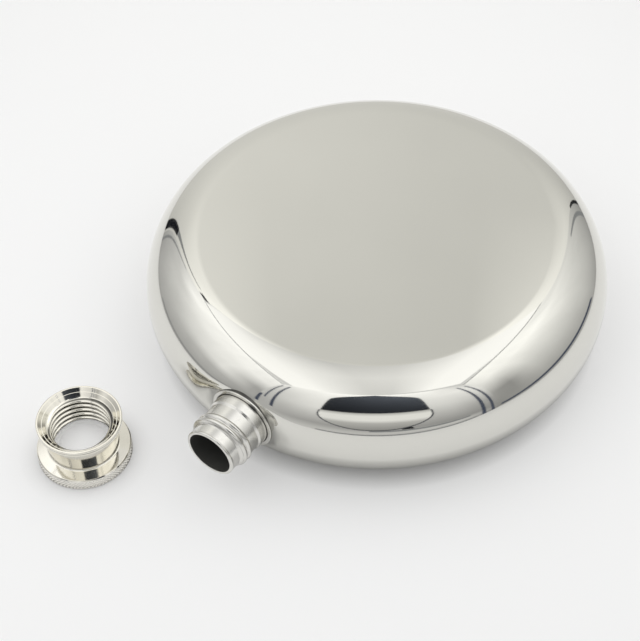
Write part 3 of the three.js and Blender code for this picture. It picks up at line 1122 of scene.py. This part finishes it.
def make_seams(flask):
    """Dark poles in the corners, and dark hems where the walls meet the roof and the floor."""
    black = glow_material("seam_black", (0.015, 0.016, 0.02))
    navy = glow_material("seam_navy", (0.07, 0.085, 0.13))
    grey = glow_material("seam_grey", (0.3, 0.31, 0.32))
    strips = {
        "front_pole_1": ("front", (15, 0, 7), (11, 255, 4), navy),
        "front_pole_2": ("front", (35, 0, 8), (29, 255, 4), navy),
        "front_pole_3": ("front", (320, 45, 8), (340, 270, 5), navy),
        "front_pole_4": ("front", (347, 90, 5), (359, 265, 5), navy),
        "front_corner": ("front", (362, 40, 12), (362, 110, 8), navy),
        "front_hem": ("front", (140, 22, 14), (140, 30, 9), black),
        "front_fold": ("front", (120, 16, 120), (120, 21, 120), grey),
        "front_foot": ("front", (145, 0, 190), (145, 4, 190), grey),
        "left_pole": ("left", (312, 0, 6), (318, 200, 3), grey),
        "left_seam": ("left", (164, 286, 329), (164, 293, 329), grey),
        "left_hem": ("left", (140, 6, 160), (140, 10, 160), grey),
        "back_pole": ("back", (13, 0, 17), (14, 110, 15), black),
        "back_pole_top": ("back", (15, 110, 12), (27, 262, 4), grey),
        "back_knot": ("back", (10, 274, 20), (10, 300, 20), black),
        "right_back_pole": ("back", (328, 0, 6), (330, 75, 3), black),
        "right_pole": ("right", (18, 0, 8), (18, 130, 5), grey),
        "right_seam": ("right", (157, 286, 315), (157, 294, 315), grey),
        "right_hem": ("right", (215, 6, 190), (215, 13, 180), navy),
    }
    walls = tent_walls(flask.tent)
    for name, (wall, foot, top, material) in strips.items():
        flat_shape(name, tapered(foot, top), wall_frame(flask, *walls[wall], STRIP_INWARD), material)


def opening_outline(tent, low, high, grown=0):
    """The opening between two heights, grown by a hem: round below, straight at the sides, arched above."""
    heights = np.linspace(low, high, OPENING_STEPS)
    below = (tent.opening_round - heights) / (tent.opening_round - tent.opening_foot + grown)
    above = (heights - tent.opening_arch) / (tent.opening_top - tent.opening_arch)
    rounding = np.sqrt(1 - np.clip(below, 0, 1) ** 2)
    arching = 1 - np.clip(above, 0, 1) ** 2
    spread = (tent.opening_width / 2 + grown) * rounding * arching
    right = [(tent.opening_middle + s, h) for s, h in zip(spread, heights)]
    left = [(tent.opening_middle - s, h) for s, h in zip(spread[::-1], heights[::-1])]
    return right + left


def make_opening(flask):
    """The opening for the lens: dark above, and closed below by a pale flap with a dark hem."""
    tent = flask.tent
    foot, top, split, hem = tent.opening_foot, tent.opening_top, tent.flap_top, tent.hem_width
    front = tent_walls(tent)["front"]
    layers = {
        "opening_hem": (foot - hem, split, hem, HEM_INWARD, (0.1, 0.105, 0.12)),
        "opening_flap": (foot, split, 0, FLAP_INWARD, cloth_glow(FLAP_CLOTH, 0.06, (1, 1, 0.98))),
        "opening_dark": (split, top, 0, FLAP_INWARD, cloth_glow(DARK_ROOM, 0.2, (0.88, 0.98, 1.2))),
    }
    for name, (low, high, grown, inward, glow) in layers.items():
        flat_shape(name, opening_outline(tent, low, high, grown), wall_frame(flask, *front, inward),
                   glow_material(name, glow))


def make_floor(flask):
    """A wide plain floor."""
    half = FLOOR_HALF_WIDTH
    corners = [(x, y, 0) for x, y in oblong(-half, half, -half, half)]
    mesh = bpy.data.meshes.new("floor")
    mesh.from_pydata(corners, [], [(0, 1, 2, 3)])
    mesh.materials.append(floor_paper(flask.finish))
    floor = bpy.data.objects.new("floor", mesh)
    bpy.context.scene.collection.objects.link(floor)


def make_world():
    """Pale surroundings, for the floor outside the tent and the far background."""
    world = bpy.data.worlds.new("pale_room")
    world.use_nodes = True
    background = world.node_tree.nodes["Background"]
    background.inputs["Color"].default_value = (0.9, 0.9, 0.9, 1)
    background.inputs["Strength"].default_value = 1
    bpy.context.scene.world = world
    bpy.context.scene.view_settings.view_transform = "Standard"


def make_camera(flask):
    """The camera at the photograph's place."""
    view = flask.view
    back = Vector((
        math.sin(view.azimuth) * math.cos(view.elevation),
        -math.cos(view.azimuth) * math.cos(view.elevation),
        math.sin(view.elevation),
    ))
    level = Vector((math.cos(view.azimuth), math.sin(view.azimuth), 0))
    upward = back.cross(level)
    right = level * math.cos(view.roll) + upward * math.sin(view.roll)
    up = upward * math.cos(view.roll) - level * math.sin(view.roll)
    data = bpy.data.cameras.new("camera")
    data.sensor_fit = "HORIZONTAL"
    data.sensor_width = view.sensor
    data.lens = view.lens
    data.clip_start = 0.01
    camera = bpy.data.objects.new("camera", data)
    bpy.context.scene.collection.objects.link(camera)
    turn = Matrix((right, up, back)).transposed().to_4x4()
    camera.matrix_world = Matrix.Translation(Vector(view.aim) + back * view.distance) @ turn
    bpy.context.scene.camera = camera


# Operators

class HIPFLASK_OT_stage(bpy.types.Operator):
    """Makes the floor, the light tent and the camera"""

    bl_idname = "hip_flask.stage"
    bl_label = "Stage"

    def execute(self, context):
        flask = context.scene.hip_flask
        make_world()
        make_camera(flask)
        make_floor(flask)
        make_walls(flask)
        make_roof(flask)
        make_seams(flask)
        make_opening(flask)
        return {"FINISHED"}


class HIPFLASK_OT_shells(bpy.types.Operator):
    """Makes the two polished shells of the body"""

    bl_idname = "hip_flask.shells"
    bl_label = "Shells"

    def execute(self, context):
        flask = context.scene.hip_flask
        steel = polished_steel(flask.finish)
        raw = raw_shaded_inside(flask.finish)
        for name, node, side in (("front_dish", "front_shell", 1), ("back_dish", "back_shell", -1)):
            piece = make_shell(name, side, flask)
            assign(piece, steel, raw)
            settle(piece, "flask", node)
        return {"FINISHED"}


class HIPFLASK_OT_neck(bpy.types.Operator):
    """Makes the threaded neck and the collar round its root"""

    bl_idname = "hip_flask.neck"
    bl_label = "Neck and collar"

    def execute(self, context):
        flask = context.scene.hip_flask
        turned = turned_metal("turned_steel", flask.finish.turned, gloss=0.2, ring_strength=0.1, axis="Y")
        raw = raw_shaded_inside(flask.finish)
        neck = make_neck(flask)
        assign(neck, turned, raw)
        settle(neck, "flask", "neck")
        collar = make_collar(flask)
        assign(collar, turned)
        settle(collar, "flask", "neck_collar")
        return {"FINISHED"}


class HIPFLASK_OT_cap(bpy.types.Operator):
    """Makes the knurled screw cap"""

    bl_idname = "hip_flask.cap"
    bl_label = "Cap"

    def execute(self, context):
        flask = context.scene.hip_flask
        finish = flask.finish
        piece = make_cap(flask)
        # The grip and the thread take lightened copies of the warm plating: painted light
        assign(
            piece,
            turned_metal("warm_plating", finish.plating, gloss=0.065, ring_strength=0.05, axis="Z"),
            turned_metal("lightened_knurl_plating", finish.knurl, gloss=0.25, ring_strength=0.02, axis="Z"),
            turned_metal("lightened_thread_plating", finish.thread, gloss=0.08, ring_strength=0.02, axis="Z"),
        )
        settle(piece, "cap", "cap_shell")
        return {"FINISHED"}


class HIPFLASK_OT_liner(bpy.types.Operator):
    """Makes the sealing disc in the cap"""

    bl_idname = "hip_flask.liner"
    bl_label = "Sealing disc"

    def execute(self, context):
        flask = context.scene.hip_flask
        piece = make_liner(flask)
        assign(piece, sealing_plastic(flask.finish))
        settle(piece, "cap_seal", "cap_liner")
        return {"FINISHED"}


class HipFlask(bpy.types.PropertyGroup):
    """Everything about the flask that a user would change."""

    body: PointerProperty(type=HipFlaskBody)
    neck: PointerProperty(type=HipFlaskNeck)
    cap: PointerProperty(type=HipFlaskCap)
    finish: PointerProperty(type=HipFlaskFinish)
    view: PointerProperty(type=HipFlaskView)
    tent: PointerProperty(type=HipFlaskTent)


OPERATORS = (HIPFLASK_OT_stage, HIPFLASK_OT_shells, HIPFLASK_OT_neck, HIPFLASK_OT_cap, HIPFLASK_OT_liner)


class HIPFLASK_PT_panel(bpy.types.Panel):
    """Lists the flask's pieces"""

    bl_idname = "HIPFLASK_PT_panel"
    bl_label = "Hip Flask"
    bl_space_type = "VIEW_3D"
    bl_region_type = "UI"
    bl_category = "Hip Flask"

    def draw(self, context):
        for operator in OPERATORS:
            self.layout.operator(operator.bl_idname)


CLASSES = (HipFlaskBody, HipFlaskNeck, HipFlaskCap, HipFlaskFinish, HipFlaskView, HipFlaskTent, HipFlask,
           *OPERATORS, HIPFLASK_PT_panel)


def register():
    for cls in CLASSES:
        bpy.utils.register_class(cls)
    bpy.types.Scene.hip_flask = PointerProperty(type=HipFlask)


def unregister():
    del bpy.types.Scene.hip_flask
    for cls in reversed(CLASSES):
        bpy.utils.unregister_class(cls)


def main():
    register()
    bpy.ops.hip_flask.stage()
    bpy.ops.hip_flask.shells()
    bpy.ops.hip_flask.neck()
    bpy.ops.hip_flask.cap()
    bpy.ops.hip_flask.liner()


if __name__ == "__main__":
    main()
